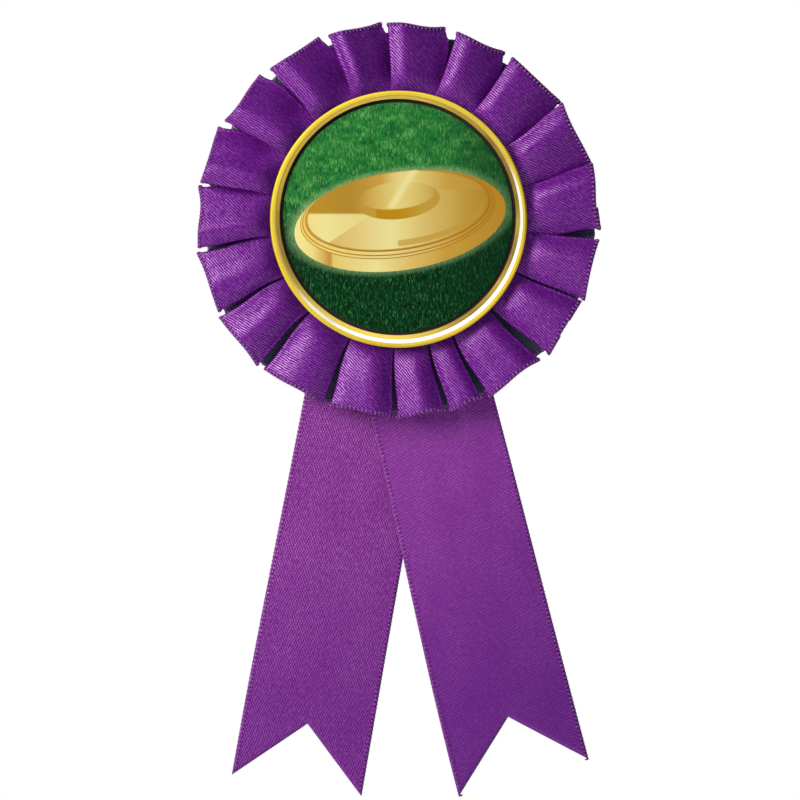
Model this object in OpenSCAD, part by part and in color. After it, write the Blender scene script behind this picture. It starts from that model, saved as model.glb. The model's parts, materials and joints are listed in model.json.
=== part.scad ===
// Award rosette: a pleated satin rosette with a button centre, two swallow-tailed
// streamers and a brooch bar on its back.
// The origin is on the pin stem's axis, +X runs along the stem, +Z is up and the front faces -Y.
// Every module draws as seen from the front, with x right, y up and z towards the viewer,
// and upright() stands it up.

/* [Rosette] */
// Diameter across the corners of the pleats
rosette_d = 90; // [86:1:96]
// Number of full box pleats; two narrow ones join the ends of the ribbon
full_pleats = 17; // [15:1:19]
// Width of the satin ribbon that the pleats and both tails are cut from
ribbon_w = 28; // [26:0.5:29]
// Distance of the pin stem above the centre of the rosette
pin_above_centre = 9; // [6:1:11]

/* [Button centre] */
// Diameter of the gold bezel
bezel_d = 57; // [55:0.5:58]
// Diameter of the printed insert
insert_d = 50.8; // [49:0.1:51.2]

/* [Tails] */
// Length of each tail from the centre of the rosette to its tips
tail_l = 128; // [100:1:160]
// Lean of the front tail from the vertical, in degrees
front_lean = 14.3; // [8:0.1:18]
// Lean of the rear tail from the vertical, in degrees
rear_lean = 10.1; // [8:0.1:16]

/* [Brooch bar] */
// Length of the brooch bar
bar_l = 32; // [30:1:34]
// Diameter of the pin stem's wire
wire_d = 0.9; // [0.8:0.05:1]

/* [Hidden] */
$fn = 96;

satin = [0.40, 0.11, 0.50];
gold = [0.86, 0.70, 0.24];
nickel = [0.76, 0.76, 0.78];
card_white = [0.92, 0.91, 0.88];

// Depths in front of the stem's axis, from the back of the object to its front
bar_rear = 3.6;
bar_t = 0.8;
card_rear = bar_rear + bar_t;
card_t = 1;
glue_rear = card_rear + card_t;
glue_t = 0.6;
tail_t = 0.4;
rear_tail_z = glue_rear + glue_t;
tail_gap = 0.3;
front_tail_z = rear_tail_z + tail_t + tail_gap;
pleat_rear = front_tail_z + tail_t + 0.2;
pleat_pressed = 2.1;
stitch_z = pleat_rear + pleat_pressed;
thread_d = 0.35;
front_card_z = stitch_z + thread_d;
front_card_t = 0.8;
glue_front = front_card_z + front_card_t;
button_z = glue_front + glue_t;
button_t = 0.7;
pad_z = button_z + button_t;
pad_t = 1.05;
insert_z = pad_z + pad_t;
insert_t = 0.3;
cover_z = insert_z + insert_t;
cover_t = 0.2;

// Pleats
pleat_out = rosette_d / 2;
pleat_in = pleat_out - ribbon_w;
// Each joining pleat as its angle clockwise from the top and the width of its front panel
joining_pleats = [[160.7, 9.4], [173.6, 13.6]];
first_full_pleat = 191;
last_full_pleat = 504.5;
pleat_pitch = (last_full_pleat - first_full_pleat) / (full_pleats - 1);
full_panel = pleat_pitch * 0.88;
pleat_rise = 5;
web_t = 1.1;
pressed_r = 24;
clear_of_bezel = button_z - 0.1;

// Cards, staples and glue
front_card_r = 22;
back_card_r = 24;
staple_wire = 0.5;
staple_w = 9;
staple_leg = 2.2;
tail_staple_y = [7, -5];
pleat_staple_r = 20;
pleat_staples_n = 4;
stitch_r = 17.9;
stitches = 2 * (full_pleats + len(joining_pleats));
stitch_l = 2.2;
glue_dot_r = 2.6;

// Tails
hinge_drop = pleat_out + 1.5;
hinge_gap = 0.3;
tail_above = 12;
front_tail_x = -3.4;
notch_depth = ribbon_w / 2;

// Bezel
bezel_r = bezel_d / 2;
throat_r = insert_d / 2 + 0.7;
// The insert and the bezel's throat sit a little off the bezel's own centre
insert_shift = [-0.3, 0.8];
bezel_rear = button_z + 0.1;
bezel_front = cover_z + cover_t + 1.2;
button_r = bezel_r - 1.4;
rim_t = 0.6;
pad_r = button_r - rim_t - 0.1;

// Brooch bar
bar_w = 5;
wire_r = wire_d / 2;
hinge_x = -13.5;
straight_end = 9;
tip_x = 16;
catch_x = 10.9;
catch_l = 3;
catch_bore = 1.9;
catch_wall = 0.7;
catch_slot = 1.6;
barrel_r = catch_bore - 0.05;
barrel_bore = 1.05;
flange_t = 0.5;
flange_r = 2.4;
lever_r = 4.2;
ear_t = 0.6;
ear_gap = 1.8;
ear_r = 1.4;
eye_r = 1.5;
rivet_r = 0.5;
running = 0.05;
bar_rivet_x = 6;
bar_rivet_r = 1;
bar_rivet_head = 1.7;
head_t = 0.4;

module upright() rotate([90, 0, 0]) children();

module at_centre(z = 0) translate([0, -pin_above_centre, z]) children();

module disc(r, t) cylinder(r = r, h = t);

// Side view of a pleat, from the sewn inner edge to the open outer edge
module pleat_side() {
    rotate([90, 0, 90])
        linear_extrude(pleat_out, center = true)
            polygon([
                [pleat_in, 0],
                [pleat_out, 0],
                [pleat_out, pleat_rise - 0.7],
                [pleat_out - 4, pleat_rise],
                [pleat_out - 10, pleat_rise - 0.2],
                [bezel_r + 0.3, clear_of_bezel - pleat_rear],
                [pressed_r, pleat_pressed],
                [pleat_in, pleat_pressed]
            ]);
}

// The front panel of the pleat at an angle clockwise from the top
module pleat_panel(angle, width) {
    half_in = pleat_in * tan(width / 2);
    half_out = pleat_out * tan(width / 2);
    rotate(-angle) intersection() {
        pleat_side();
        linear_extrude(pleat_rise)
            polygon([
                [-half_in, pleat_in],
                [half_in, pleat_in],
                [half_out, pleat_out],
                [-half_out, pleat_out]
            ]);
    }
}

module pleat_ring() {
    color(satin) upright() at_centre(pleat_rear) {
        difference() {
            disc(pleat_out - 1.5, web_t);
            translate([0, 0, -1]) disc(pleat_in + 0.4, web_t + 2);
        }
        for (i = [0 : full_pleats - 1])
            pleat_panel(first_full_pleat + i * pleat_pitch, full_panel);
        for (pleat = joining_pleats)
            pleat_panel(pleat[0], pleat[1]);
    }
}

module gathering_stitches() {
    color("indigo") upright() at_centre(stitch_z + thread_d / 2)
        for (i = [0 : stitches - 1])
            rotate(i * 360 / stitches)
                translate([stitch_r, stitch_l / 2, 0])
                    rotate([90, 0, 0]) cylinder(d = thread_d, h = stitch_l, $fn = 24);
}

module front_card() {
    color(card_white) upright() at_centre(front_card_z) disc(front_card_r, front_card_t);
}

module back_card() {
    color(card_white) upright() difference() {
        at_centre(card_rear) disc(back_card_r, card_t);
        bar_rivet_holes(card_rear - 1, card_t + 2);
    }
}

// A wire staple: its crown lies along x at z = 0 and its legs go towards +z
module staple(leg) {
    translate([-staple_w / 2, -staple_wire / 2, 0])
        cube([staple_w, staple_wire, staple_wire]);
    for (side = [-1, 1])
        translate([side * (staple_w - staple_wire) / 2 - staple_wire / 2, -staple_wire / 2, 0])
            cube([staple_wire, staple_wire, leg]);
}

module pleat_staples() {
    crown_z = front_card_z + front_card_t + staple_wire;
    color(nickel) upright() at_centre(crown_z)
        for (i = [0 : pleat_staples_n - 1])
            rotate(45 + i * 360 / pleat_staples_n)
                translate([0, pleat_staple_r, 0])
                    mirror([0, 0, 1]) staple(staple_leg + staple_wire);
}

module tail_staples() {
    color(nickel) upright() at_centre(rear_tail_z - staple_wire)
        for (y = tail_staple_y)
            translate([0, y, 0]) staple(front_card_z + front_card_t - rear_tail_z + staple_wire);
}

// Outline of a tail in its own axes, hanging down from the centre of the rosette
module tail_outline() {
    half = ribbon_w / 2;
    polygon([
        [-half, tail_above],
        [half, tail_above],
        [half, -tail_l],
        [0, notch_depth - tail_l],
        [-half, -tail_l]
    ]);
}

module tail_sheet(z, lean, x) {
    at_centre(z) translate([x, 0, 0]) rotate(lean) linear_extrude(tail_t) tail_outline();
}

// Keeps what lies above the line where the tails bend, or below it
module above_bend() {
    intersection() {
        children();
        translate([-100, -pin_above_centre - hinge_drop + hinge_gap, 0]) cube([200, 100, 20]);
    }
}

module below_bend() {
    intersection() {
        children();
        translate([-100, -pin_above_centre - hinge_drop - hinge_gap - 200, 0]) cube([200, 200, 20]);
    }
}

module front_tail_sheet() tail_sheet(front_tail_z, front_lean, front_tail_x);

module rear_tail_sheet() tail_sheet(rear_tail_z, -rear_lean, 0);

module front_tail_top() color(satin) upright() above_bend() front_tail_sheet();

module front_tail() color(satin) upright() below_bend() front_tail_sheet();

module rear_tail_top() color(satin) upright() above_bend() rear_tail_sheet();

module rear_tail() color(satin) upright() below_bend() rear_tail_sheet();

module rear_glue() {
    color("wheat") upright() at_centre(glue_rear)
        for (p = [[-9, 1], [9, 1], [-6, -12], [6, -12]])
            translate(p) disc(glue_dot_r, glue_t);
}

module front_glue() {
    color("wheat") upright() at_centre(glue_front)
        for (i = [0 : 3])
            rotate(i * 90) translate([0, 12, 0]) disc(glue_dot_r + 1, glue_t);
}

// The tinplate back of the button, with a rim pressed forward all round
module button_back() {
    color(nickel) upright() at_centre(button_z) rotate_extrude()
        polygon([
            [0, 0],
            [button_r - 0.4, 0],
            [button_r, 0.4],
            [button_r, button_t + 0.8],
            [button_r - rim_t, button_t + 0.8],
            [button_r - rim_t, button_t],
            [0, button_t]
        ]);
}

module insert_pad() color("black") upright() at_centre(pad_z) disc(pad_r, pad_t);

module insert_print() {
    color("green") upright() at_centre(insert_z) translate(insert_shift)
        disc(insert_d / 2, insert_t);
}

module clear_cover() {
    color([0.9, 0.95, 1, 0.3]) upright() at_centre(cover_z) translate(insert_shift)
        disc(insert_d / 2, cover_t);
}

// A ring pressed from gilt sheet: an outer wall, a round bead, an inner slope and a flat ledge
module bezel() {
    height = bezel_front - bezel_rear;
    bead_r = 0.75;
    ledge_z = height - 1.25;
    ledge_r = throat_r - norm(insert_shift) - 0.2;
    color(gold) upright() at_centre(bezel_rear) difference() {
        rotate_extrude() {
            polygon([
                [button_r + 0.05, 0],
                [bezel_r - 0.3, 0],
                [bezel_r, 0.3],
                [bezel_r, height - 1.1],
                [bezel_r - 0.35, height - 0.75],
                [bezel_r - 1.2, height - 0.75],
                [bezel_r - 1.7, ledge_z],
                [ledge_r, ledge_z],
                [ledge_r, 1.7],
                [button_r + 0.05, 1.7]
            ]);
            translate([bezel_r - 1.3, height - bead_r]) circle(r = bead_r);
        }
        translate([insert_shift[0], insert_shift[1], -1]) disc(throat_r, height + 2);
    }
}

module bar_rivet_holes(z, t) {
    for (side = [-1, 1])
        translate([side * bar_rivet_x, 0, z]) cylinder(r = bar_rivet_r + 0.02, h = t);
}

module hinge_ears() {
    for (side = [-1, 1])
        translate([hinge_x, side * (ear_gap + ear_t) / 2 + ear_t / 2, 0])
            rotate([90, 0, 0]) {
                cylinder(r = ear_r, h = ear_t);
                translate([-ear_r, 0, 0]) cube([2 * ear_r, bar_rear + 0.1, ear_t]);
            }
}

module pin_bar() {
    color(nickel) upright() difference() {
        union() {
            translate([-bar_l / 2, -bar_w / 2, bar_rear]) cube([bar_l, bar_w, bar_t]);
            hinge_ears();
        }
        bar_rivet_holes(bar_rear - 1, bar_t + 2);
        translate([hinge_x, ear_gap, 0]) rotate([90, 0, 0])
            cylinder(r = rivet_r + 0.01, h = 2 * ear_gap);
    }
}

module bar_rivets() {
    color(nickel) upright()
        for (side = [-1, 1])
            translate([side * bar_rivet_x, 0, 0]) {
                translate([0, 0, bar_rear]) cylinder(r = bar_rivet_r, h = bar_t + card_t);
                translate([0, 0, bar_rear - head_t]) cylinder(r = bar_rivet_head, h = head_t);
                translate([0, 0, glue_rear]) cylinder(r = bar_rivet_head, h = head_t);
            }
}

// A ring round the stem's axis with a slot that opens away from the bar
module open_ring(outer, inner, slot, length) {
    rotate([0, 90, 0]) difference() {
        cylinder(r = outer, h = length);
        translate([0, 0, -1]) cylinder(r = inner, h = length + 2);
        translate([0, -slot / 2, -1]) cube([outer + 1, slot, length + 2]);
    }
}

module catch_housing() {
    outer = catch_bore + catch_wall;
    color(nickel) upright() translate([catch_x, 0, 0]) {
        open_ring(outer, catch_bore, catch_slot, catch_l);
        difference() {
            translate([0, -bar_w / 2 + 0.4, 1.2]) cube([catch_l, bar_w - 0.8, bar_rear - 1.2]);
            rotate([0, 90, 0]) translate([0, 0, -1]) cylinder(r = outer - 0.1, h = catch_l + 2);
        }
    }
}

module catch_flange() open_ring(flange_r, barrel_bore, catch_slot - 0.1, flange_t);

module catch_barrel() {
    side_gap = 0.1;
    flange_x = catch_x - side_gap - flange_t;
    color(nickel) upright() {
        translate([flange_x, 0, 0])
            open_ring(barrel_r, barrel_bore, catch_slot - 0.1, catch_l + 2 * (side_gap + flange_t));
        translate([flange_x, 0, 0]) catch_flange();
        translate([catch_x + catch_l + side_gap, 0, 0]) catch_flange();
        translate([flange_x, -lever_r, -0.6]) cube([flange_t, lever_r - 1.5, 1.2]);
    }
}

module hinge_rivet() {
    shank = ear_gap + 2 * ear_t;
    color(nickel) upright() translate([hinge_x, 0, 0]) rotate([90, 0, 0]) {
        cylinder(r = rivet_r, h = shank, center = true);
        for (side = [-1, 1])
            translate([0, 0, side * (shank + head_t) / 2])
                cylinder(r = rivet_r + 0.45, h = head_t, center = true);
    }
}

module pin_stem() {
    eye_t = ear_gap - 0.3;
    color(nickel) upright() {
        difference() {
            union() {
                translate([hinge_x, 0, 0]) rotate([90, 0, 0])
                    cylinder(r = eye_r, h = eye_t, center = true);
                translate([hinge_x + rivet_r + 0.3, 0, 0]) rotate([0, 90, 0])
                    cylinder(r = wire_r, h = straight_end - hinge_x - rivet_r - 0.3);
            }
            translate([hinge_x, 0, 0]) rotate([90, 0, 0])
                cylinder(r = rivet_r + running, h = eye_t + 2, center = true);
        }
        translate([straight_end, 0, 0]) rotate([0, 90, 0])
            cylinder(r1 = wire_r, r2 = 0.06, h = tip_x - straight_end);
    }
}

pleat_ring();
gathering_stitches();
front_card();
pleat_staples();
back_card();
front_tail_top();
front_tail();
rear_tail_top();
rear_tail();
tail_staples();
rear_glue();
front_glue();
button_back();
insert_pad();
insert_print();
clear_cover();
bezel();
pin_bar();
bar_rivets();
catch_housing();
catch_barrel();
hinge_rivet();
pin_stem();
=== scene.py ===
"""Looks of the award rosette: pleated satin, two swallow-tailed ribbons, a gilt button and a brooch pin."""
import json
import math
import random

import bmesh
import bpy
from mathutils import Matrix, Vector, noise

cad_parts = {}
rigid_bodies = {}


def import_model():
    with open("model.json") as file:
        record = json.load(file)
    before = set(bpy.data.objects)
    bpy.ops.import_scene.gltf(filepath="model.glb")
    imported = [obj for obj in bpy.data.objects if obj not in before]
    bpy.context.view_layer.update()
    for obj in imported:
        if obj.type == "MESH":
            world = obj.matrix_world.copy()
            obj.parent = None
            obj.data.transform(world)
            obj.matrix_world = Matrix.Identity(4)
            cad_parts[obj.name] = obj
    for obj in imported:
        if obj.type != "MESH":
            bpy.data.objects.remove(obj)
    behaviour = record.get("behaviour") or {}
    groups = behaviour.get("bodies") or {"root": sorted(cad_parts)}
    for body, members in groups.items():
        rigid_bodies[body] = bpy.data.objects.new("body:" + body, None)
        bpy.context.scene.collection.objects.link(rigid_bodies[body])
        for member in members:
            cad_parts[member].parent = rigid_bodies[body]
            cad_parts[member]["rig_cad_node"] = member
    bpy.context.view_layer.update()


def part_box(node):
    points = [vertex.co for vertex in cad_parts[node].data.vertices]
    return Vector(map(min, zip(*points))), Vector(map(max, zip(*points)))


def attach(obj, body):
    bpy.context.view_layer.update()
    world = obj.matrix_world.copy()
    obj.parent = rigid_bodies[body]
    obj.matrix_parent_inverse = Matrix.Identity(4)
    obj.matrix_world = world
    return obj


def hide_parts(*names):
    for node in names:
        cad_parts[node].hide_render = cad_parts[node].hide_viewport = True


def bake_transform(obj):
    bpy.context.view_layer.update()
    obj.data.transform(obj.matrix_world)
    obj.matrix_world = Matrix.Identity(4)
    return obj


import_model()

MM = 0.001


# ---- places from the frame
def depth_range(node):
    """How far in front of the pin stem a CAD node's back and front lie, in mm."""
    low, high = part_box(node)
    return -high[1] / MM, -low[1] / MM


def middle(node):
    low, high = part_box(node)
    return (Vector(low) + Vector(high)) / 2


def radius(node):
    low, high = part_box(node)
    return (high[0] - low[0]) / 2 / MM


CENTRE_UP = middle("front_card").z / MM
# the rim's inner lip is rolled unevenly, so the opening looks less off-centre than the seat under it
LIP_EASE = 0.6
INSERT_SHIFT = (LIP_EASE * middle("insert_print").x / MM,
                LIP_EASE * (middle("insert_print").z / MM - CENTRE_UP))
PLEAT_REAR = depth_range("pleat_ring")[0]
PRINT_REAR, PRINT_FRONT = depth_range("insert_print")
COVER_REAR, COVER_FRONT = depth_range("clear_cover")
BEZEL_REAR, BEZEL_FRONT = depth_range("bezel")
BEZEL_R = radius("bezel")
INSERT_R = radius("insert_print")
RIBBON_W = 28.0
SATIN_T = 0.2 * MM


def place(x, up, depth):
    """A point in front view, in mm from the centre of the rosette, as a point of the frame in metres."""
    return Vector((x * MM, -depth * MM, (up + CENTRE_UP) * MM))


def linked(name, data):
    """A new object, linked to the scene."""
    made = bpy.data.objects.new(name, data)
    bpy.context.scene.collection.objects.link(made)
    return made


# ---- camera and light
def make_camera():
    """A long lens on the rosette's front. At the depth of flat the view is view_w metres wide."""
    view_w = 0.1778
    lens = 200.0
    sensor = 36.0
    flat = -(PLEAT_REAR + 2.0) * MM
    data = bpy.data.cameras.new("camera")
    data.lens = lens
    data.sensor_width = sensor
    camera = linked("camera", data)
    aim = place(0.33, -40.0, 0)
    camera.location = (aim.x, flat - view_w * lens / sensor, aim.z)
    camera.rotation_euler = (math.radians(90), 0, 0)
    bpy.context.scene.camera = camera


def area_light(name, location, target, size, power, colour=(1, 1, 1)):
    data = bpy.data.lights.new(name, "AREA")
    data.shape = "RECTANGLE"
    data.size, data.size_y = size
    data.energy = power
    data.color = colour
    light = linked(name, data)
    light.location = location
    light.rotation_euler = (Vector(target) - Vector(location)).to_track_quat("-Z", "Y").to_euler()
    return light


def reflector(name, clock, tilt, size, radiance, collection, colour=(1, 1, 1)):
    """A softbox that only the gilt ring sees.

    clock is its side in degrees clockwise from above, and tilt its angle off the line of view.
    """
    distance = 0.55
    centre = place(0, 0, BEZEL_FRONT)
    turn, lean = math.radians(clock), math.radians(tilt)
    away = Vector((math.sin(turn) * math.sin(lean), -math.cos(lean), math.cos(turn) * math.sin(lean)))
    power = radiance * math.pi * size[0] * size[1]
    light = area_light(name, centre + away * distance, centre, size, power, colour)
    light.light_linking.receiver_collection = collection


def make_light():
    """A white backdrop, a soft key from the left, a weak fill, a back light and the ring's softboxes."""
    scene = bpy.context.scene
    scene.view_settings.view_transform = "Standard"
    scene.view_settings.look = "None"
    world = bpy.data.worlds.new("studio")
    scene.world = world
    world.use_nodes = True
    nodes, links = world.node_tree.nodes, world.node_tree.links
    nodes.clear()
    seen = nodes.new("ShaderNodeBackground")
    seen.inputs["Color"].default_value = (1, 1, 1, 1)
    lit = nodes.new("ShaderNodeBackground")
    lit.inputs["Color"].default_value = (0.80, 0.82, 1, 1)
    lit.inputs["Strength"].default_value = 0.16
    path = nodes.new("ShaderNodeLightPath")
    mix = nodes.new("ShaderNodeMixShader")
    out = nodes.new("ShaderNodeOutputWorld")
    links.new(path.outputs["Is Camera Ray"], mix.inputs[0])
    links.new(lit.outputs[0], mix.inputs[1])
    links.new(seen.outputs[0], mix.inputs[2])
    links.new(mix.outputs[0], out.inputs["Surface"])
    aim = place(0, -10, 8)
    key = area_light("key", (-0.58, -0.46, 0.24), aim, (0.46, 0.46), 7.3, (1.0, 0.95, 0.88))
    fill = area_light("fill", (0.20, -0.75, -0.10), aim, (0.40, 0.50), 0.9, (0.86, 0.88, 1.0))
    fill.visible_glossy = False
    area_light("back", (0.16, 0.62, 0.26), aim, (0.70, 0.70), 4.5)
    ring = bpy.data.collections.new("ring_only")
    key.light_linking.receiver_collection = bpy.data.collections.new("not_the_ring")
    reflector("ring_front", -35, 20, (1.0, 1.0), 0.95, ring)
    for name, clock in (("ring_side", -23), ("ring_left", -78)):
        reflector(name, clock, 78, (1.2, 1.2), 0.45, ring)
    reflector("ring_low", 140, 60, (1.0, 1.0), 0.50, ring, (1.0, 0.84, 0.52))
    return ring


# ---- material helpers
class Nodes:
    """A material's node tree, with short calls for the nodes that these materials use."""

    def __init__(self, name):
        self.material = bpy.data.materials.new(name)
        self.material.use_nodes = True
        self.tree = self.material.node_tree
        self.shader = self.tree.nodes["Principled BSDF"]

    def node(self, kind, **fields):
        made = self.tree.nodes.new(kind)
        for key, value in fields.items():
            setattr(made, key, value)
        return made

    def feed(self, socket, value):
        """Link an output to a socket, or give the socket a plain value."""
        if isinstance(value, bpy.types.NodeSocket):
            self.tree.links.new(value, socket)
        else:
            socket.default_value = value

    def set(self, **values):
        """Feed the shader's own sockets, whose names have _ for each space here."""
        for key, value in values.items():
            self.feed(self.shader.inputs[key.replace("_", " ")], value)

    def math(self, operation, *values, clamp=False):
        made = self.node("ShaderNodeMath", operation=operation, use_clamp=clamp)
        for socket, value in zip(made.inputs, values):
            self.feed(socket, value)
        return made.outputs[0]

    def mix(self, factor, low, high):
        made = self.node("ShaderNodeMix", data_type="RGBA")
        self.feed(made.inputs[0], factor)
        self.feed(made.inputs[6], low)
        self.feed(made.inputs[7], high)
        return made.outputs[2]

    def split(self, vector):
        made = self.node("ShaderNodeSeparateXYZ")
        self.feed(made.inputs[0], vector)
        return made.outputs[:]

    def axes(self, what):
        return self.split(self.node("ShaderNodeTexCoord").outputs[what])

    def times(self, first, *others):
        for other in others:
            first = self.math("MULTIPLY", first, other)
        return first

    def plus(self, first, *others):
        for other in others:
            first = self.math("ADD", first, other)
        return first

    def minus(self, first, other):
        return self.math("SUBTRACT", first, other)

    def swing(self, value, amount):
        """How far a noise lies from its middle value, times an amount."""
        return self.times(self.minus(value, 0.5), amount)

    def noise(self, places, scales, detail=2.0, rough=0.5):
        """Noise over up to three coordinates, each times its own scale."""
        stretched = self.node("ShaderNodeCombineXYZ")
        for socket, where, scale in zip(stretched.inputs, places, scales):
            self.feed(socket, self.times(where, scale))
        made = self.node("ShaderNodeTexNoise")
        self.feed(made.inputs["Vector"], stretched.outputs[0])
        self.feed(made.inputs["Scale"], 1.0)
        self.feed(made.inputs["Detail"], detail)
        self.feed(made.inputs["Roughness"], rough)
        return made.outputs["Fac"]

    def grain(self, scale, detail=2.0, rough=0.5):
        """Noise through the piece's own space, at one scale per metre or at one for each axis."""
        scales = scale if isinstance(scale, tuple) else (scale, scale, scale)
        return self.noise(self.axes("Object"), scales, detail, rough)

    def span(self, value, low, high, to_low=0.0, to_high=1.0, smooth=True):
        made = self.node("ShaderNodeMapRange")
        made.interpolation_type = "SMOOTHSTEP" if smooth else "LINEAR"
        for socket, number in zip(made.inputs, (value, low, high, to_low, to_high)):
            self.feed(socket, number)
        return made.outputs[0]

    def ramp(self, value, *stops):
        """A colour ramp. Each stop is its position and its colour on a screen, from 0 to 255."""
        made = self.node("ShaderNodeValToRGB")
        self.feed(made.inputs[0], value)
        points = made.color_ramp.elements
        while len(points) < len(stops):
            points.new(0.5)
        for point, (position, *colour) in zip(points, stops):
            point.position = position
            point.color = srgb(*colour)
        return made.outputs[0]

    def bump(self, height, distance, strength):
        made = self.node("ShaderNodeBump")
        self.feed(made.inputs["Strength"], strength)
        self.feed(made.inputs["Distance"], distance)
        self.feed(made.inputs["Height"], height)
        self.set(Normal=made.outputs[0])
        return made


def srgb(red, green, blue):
    """A colour given as it looks on a screen, from 0 to 255, as linear light."""
    def linear(value):
        value /= 255
        return value / 12.92 if value <= 0.04045 else ((value + 0.055) / 1.055) ** 2.4
    return (linear(red), linear(green), linear(blue), 1.0)


# ---- satin
def satin(name, body, pitch, lines, specks, dark=(88, 24, 110), light=(176, 104, 186),
          sparkle=1.0, cross=None, tip_shade=None, shade_gaps=False):
    """Satin ribbon. UVMap holds places along and across it, weave places along and across its twill.

    pitch is the distance between the twill's lines. lines and specks are how much the lines and the floats
    show in colour, and sparkle how much they stand out in gloss. cross is the turn in degrees to a second
    set of lines that makes a lattice. The colour given for the tips is painted shade, a deeper colour that a
    tail takes on toward its end. For pleated satin, deep shade is painted onto the floors of the gaps.
    """
    n = Nodes(name)
    on_strip = n.axes("UV")[:2]
    weave = n.node("ShaderNodeUVMap", uv_map="weave")
    on_twill = n.split(weave.outputs[0])[:2]
    wander = n.noise(on_twill, (780.0, 600.0))
    turns = 2 * math.pi / pitch
    wave = n.math("SINE", n.plus(n.times(on_twill[1], turns), n.times(wander, 7.4)))
    if cross is not None:
        turn = math.radians(cross)
        second = n.plus(n.times(on_twill[1], turns * math.cos(turn)),
                        n.times(on_twill[0], turns * math.sin(turn)))
        second = n.math("SINE", n.plus(second, n.times(wander, 4.0)))
        wave = n.times(n.plus(wave, second), 0.7)
    floats = n.noise(on_twill, (950.0, 2400.0), 1.0)
    threads = n.noise(on_strip, (260.0, 5200.0), 1.0)
    patches = n.noise(on_strip, (70.0, 110.0), 3.0)
    twill = n.times(wave, n.span(patches, 0.3, 0.7, 0.6, 1.0))
    tone = n.plus(n.times(twill, 0.5 * lines), n.swing(floats, specks), n.swing(patches, 0.2))
    tone = n.math("ADD", tone, 0.5, clamp=True)
    colour = n.ramp(tone, (0.0, *dark), (0.5, *body), (1.0, *light))
    # painted shade: the tail's colour deepens toward its tip
    if tip_shade is not None:
        colour = n.mix(n.span(on_strip[0], 0.4 * TAIL_L * MM, TAIL_L * MM, 0.0, 0.5), colour, srgb(*tip_shade))
    if shade_gaps:
        # painted shade: the floors of the gaps are mixed toward a dark slate, as deep shade
        depth = n.axes("Object")[1]
        facing = n.axes("Normal")[1]
        painted_gap_shade = n.times(n.span(depth, -(PLEAT_REAR + 1.3) * MM, -(PLEAT_REAR + 0.5) * MM),
                       n.span(facing, -0.4, -0.1, 1.0, 0.0))
        colour = n.mix(painted_gap_shade, colour, srgb(58, 70, 88))
    tangent = n.node("ShaderNodeTangent", direction_type="UV_MAP", uv_map="UVMap")
    crest = n.math("ADD", n.times(twill, 0.5), n.times(floats, 0.9), clamp=True)
    glint = n.span(crest, 0.3, 0.8, 0.5 - 0.5 * sparkle, 0.5 + 0.5 * sparkle)
    n.set(Base_Color=colour, Metallic=0.12, IOR=1.9, Roughness=n.span(glint, 0.0, 1.0, 0.52, 0.38),
          Tangent=tangent.outputs[0], Anisotropic=0.75, Anisotropic_Rotation=0.25,
          Specular_IOR_Level=n.span(glint, 0.0, 1.0, 0.0, 0.6), Specular_Tint=srgb(246, 208, 238),
          Sheen_Weight=0.06, Sheen_Roughness=0.4, Sheen_Tint=srgb(214, 140, 215),
          Coat_Weight=n.times(glint, 0.25), Coat_Roughness=0.42, Coat_IOR=1.65)
    n.bump(n.plus(n.times(twill, 0.6), n.times(threads, 0.4)), 0.07 * MM, 0.7)
    return n.material


def selvage_thread(name, low=(88, 30, 110), mid=(126, 58, 144), high=(172, 106, 184)):
    """The thread of the picot loops along the ribbon's woven edge."""
    n = Nodes(name)
    twist = n.grain(5200, 1.0)
    n.set(Base_Color=n.ramp(twist, (0.3, *low), (0.5, *mid), (0.75, *high)), Metallic=0.15, Roughness=0.5,
          Specular_IOR_Level=0.15, Sheen_Weight=0.1, Sheen_Tint=srgb(200, 110, 220))
    n.bump(twist, 0.05 * MM, 0.6)
    return n.material


# ---- mesh helpers
def add_object(name, mesh, body, material):
    """An object of a mesh. It rides on a body, or on none if its body is given to it later."""
    piece = linked(name, mesh)
    mesh.materials.append(material)
    for face in mesh.polygons:
        face.use_smooth = True
    if body:
        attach(piece, body)
    return piece


def ribbon_mesh(name, columns, faces, uvs, threads):
    """A ribbon as a grid. UVMap holds the distance along and across it, weave the places on its twill."""
    mesh = bpy.data.meshes.new(name)
    mesh.from_pydata([p for column in columns for p in column], [], faces)
    for layer_name, values in (("UVMap", uvs), ("weave", threads)):
        layer = mesh.uv_layers.new(name=layer_name)
        for loop, uv in zip(layer.data, values):
            loop.uv = uv
    mesh.update()
    return mesh


def thicken(piece):
    """Give a sheet of satin its thickness."""
    solid = piece.modifiers.new("thickness", "SOLIDIFY")
    solid.thickness = SATIN_T
    solid.offset = 0.0
    solid.use_even_offset = False
    graph = bpy.context.evaluated_depsgraph_get()
    thick = bpy.data.meshes.new_from_object(piece.evaluated_get(graph))
    piece.modifiers.clear()
    sheet = piece.data
    piece.data = thick
    bpy.data.meshes.remove(sheet)
    for face in thick.polygons:
        face.use_smooth = True


def corner(r, depth, roll, angles, off):
    """A rounded corner of a profile that reaches out to r. It faces outward at 0 degrees, forward at 90."""
    return [(r - roll + roll * math.cos(math.radians(a)), depth + roll * math.sin(math.radians(a)), off)
            for a in angles]


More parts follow.
